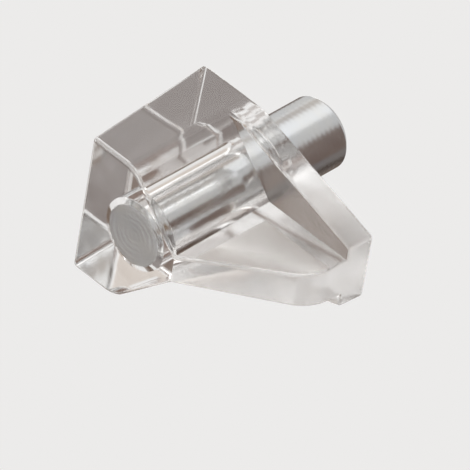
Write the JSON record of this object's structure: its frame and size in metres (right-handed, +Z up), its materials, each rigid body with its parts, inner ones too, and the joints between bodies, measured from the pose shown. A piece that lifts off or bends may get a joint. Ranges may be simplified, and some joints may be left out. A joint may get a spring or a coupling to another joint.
{
  "type": "shelf support pin",
  "caption": "Clear moulded bracket with a flat seat, a triangular gusset and a steel pin that pushes into a hole in a cabinet side to carry a shelf.",
  "frame": {"origin": "on the axis of the pin, in the plane of the back of the wall plate, where the pin enters the cabinet side", "axes": "+Y along the pin into the cabinet side, +Z up towards the shelf, X across the bracket, which is symmetric about the YZ plane"},
  "size_m": [0.0116, 0.0172, 0.0156],
  "materials": {
    "clear_plastic": "polished",
    "steel": "bright, zinc plated"
  },
  "bodies": {
    "root": {"bracket": "clear_plastic", "steel_pin": "steel"}
  },
  "joints": []
}
